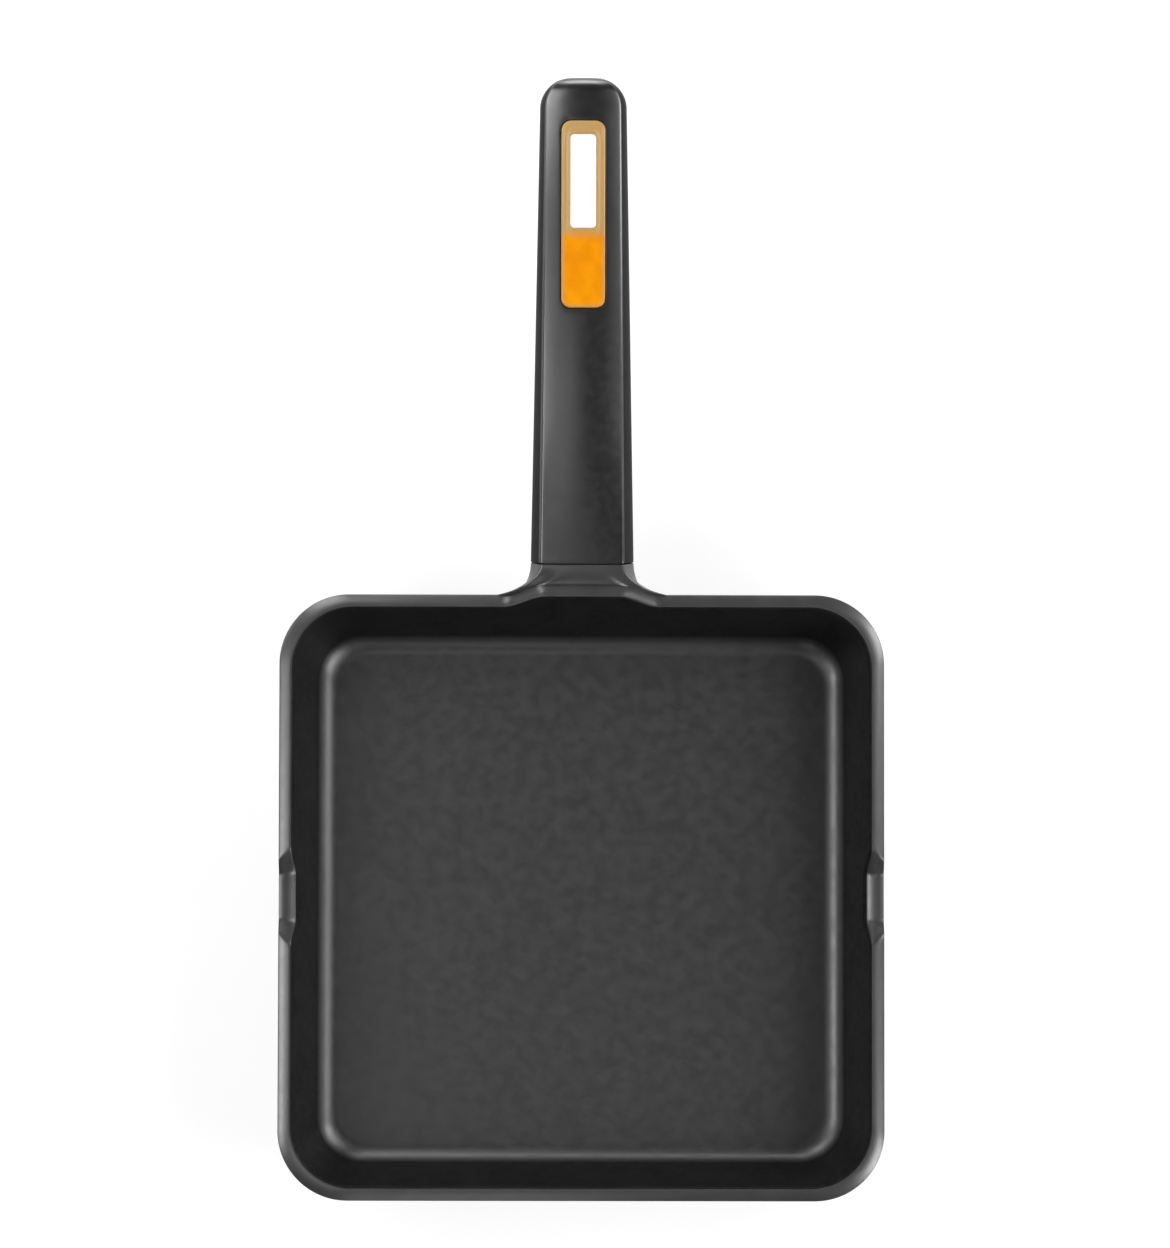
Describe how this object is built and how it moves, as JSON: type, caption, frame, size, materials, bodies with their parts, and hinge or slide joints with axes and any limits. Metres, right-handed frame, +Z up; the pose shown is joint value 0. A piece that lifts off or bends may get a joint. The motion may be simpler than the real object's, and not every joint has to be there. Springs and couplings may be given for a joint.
{
  "type": "griddle pan",
  "caption": "Square coated cast griddle pan with a smooth floor, pour lips in the side rims and a moulded handle with an orange hanging insert.",
  "frame": {"origin": "centre of the base, on the surface that the pan rests on", "axes": "+Z up, +Y from the pan along the handle, +X to the right seen from above with the handle pointing away"},
  "size_m": [0.23, 0.4243, 0.0692],
  "materials": {
    "coated_aluminium": "cast aluminium under a satin dark grey non-stick coating",
    "stainless_plate": "circular brushed stainless steel",
    "black_phenolic": "satin moulded phenolic",
    "orange_insert": "satin moulded plastic",
    "zinc_steel": "zinc plated steel"
  },
  "bodies": {
    "root": {"pan_body": "coated_aluminium", "base_plate": "stainless_plate", "handle_grip": "black_phenolic", "hang_insert": "orange_insert", "threaded_bush": "zinc_steel", "flat_washer": "zinc_steel", "spring_washer": "zinc_steel", "handle_screw": "zinc_steel"}
  },
  "joints": []
}
